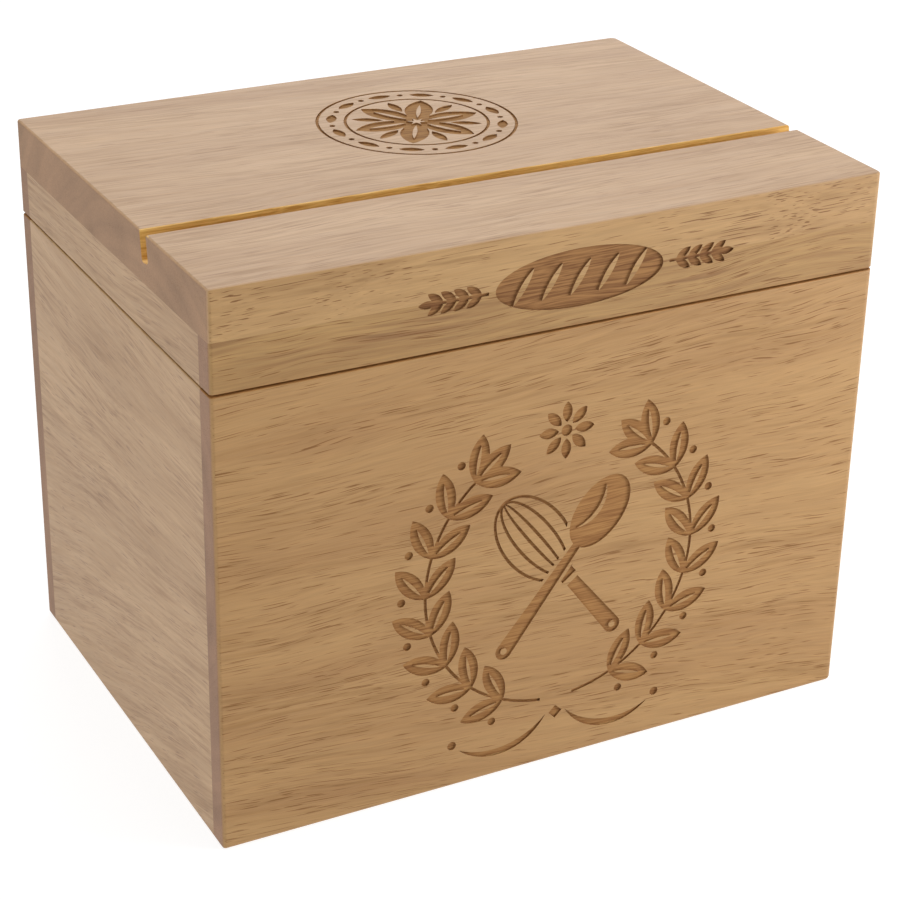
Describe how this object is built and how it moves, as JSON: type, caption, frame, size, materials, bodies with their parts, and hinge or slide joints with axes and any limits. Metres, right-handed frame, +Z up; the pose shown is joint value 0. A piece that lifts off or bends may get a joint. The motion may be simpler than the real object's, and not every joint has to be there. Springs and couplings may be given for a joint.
{
  "type": "recipe card box",
  "caption": "Rectangular wooden box for recipe cards with a hinged lid, engraved kitchen ornaments and a tilted card slot across the top of the lid.",
  "frame": {"origin": "on the surface the box stands on, in the middle of the footprint, hinge knuckles included", "axes": "+X to the right along the width as seen from the front, +Y from the front to the hinged back, +Z up"},
  "size_m": [0.178, 0.1302, 0.1449],
  "materials": {
    "body_wood": "clear satin, fine sanded, laser-engraved ornament",
    "lid_wood": "clear satin, fine sanded, laser-engraved ornament",
    "panel_wood": "bare plywood",
    "hinge_brass": "satin, brass plated",
    "screw_brass": "bright"
  },
  "bodies": {
    "body": {"front_panel": "body_wood", "back_panel": "body_wood", "left_side": "body_wood", "right_side": "body_wood", "bottom_panel": "panel_wood", "left_hinge_body_leaf": "hinge_brass", "left_hinge_body_screws": "screw_brass", "left_hinge_pin": "hinge_brass", "right_hinge_body_leaf": "hinge_brass", "right_hinge_body_screws": "screw_brass", "right_hinge_pin": "hinge_brass"},
    "lid": {"lid_top": "lid_wood", "lid_front_rail": "lid_wood", "lid_back_rail": "lid_wood", "lid_left_rail": "lid_wood", "lid_right_rail": "lid_wood", "left_hinge_lid_leaf": "hinge_brass", "left_hinge_lid_screws": "screw_brass", "right_hinge_lid_leaf": "hinge_brass", "right_hinge_lid_screws": "screw_brass"}
  },
  "joints": [
    {"name": "lid", "type": "hinge", "parent": "body", "child": "lid", "pos_m": [0, 0.0636, 0.11975], "axis": [-1, 0, 0], "range_deg": [0, 180]}
  ]
}
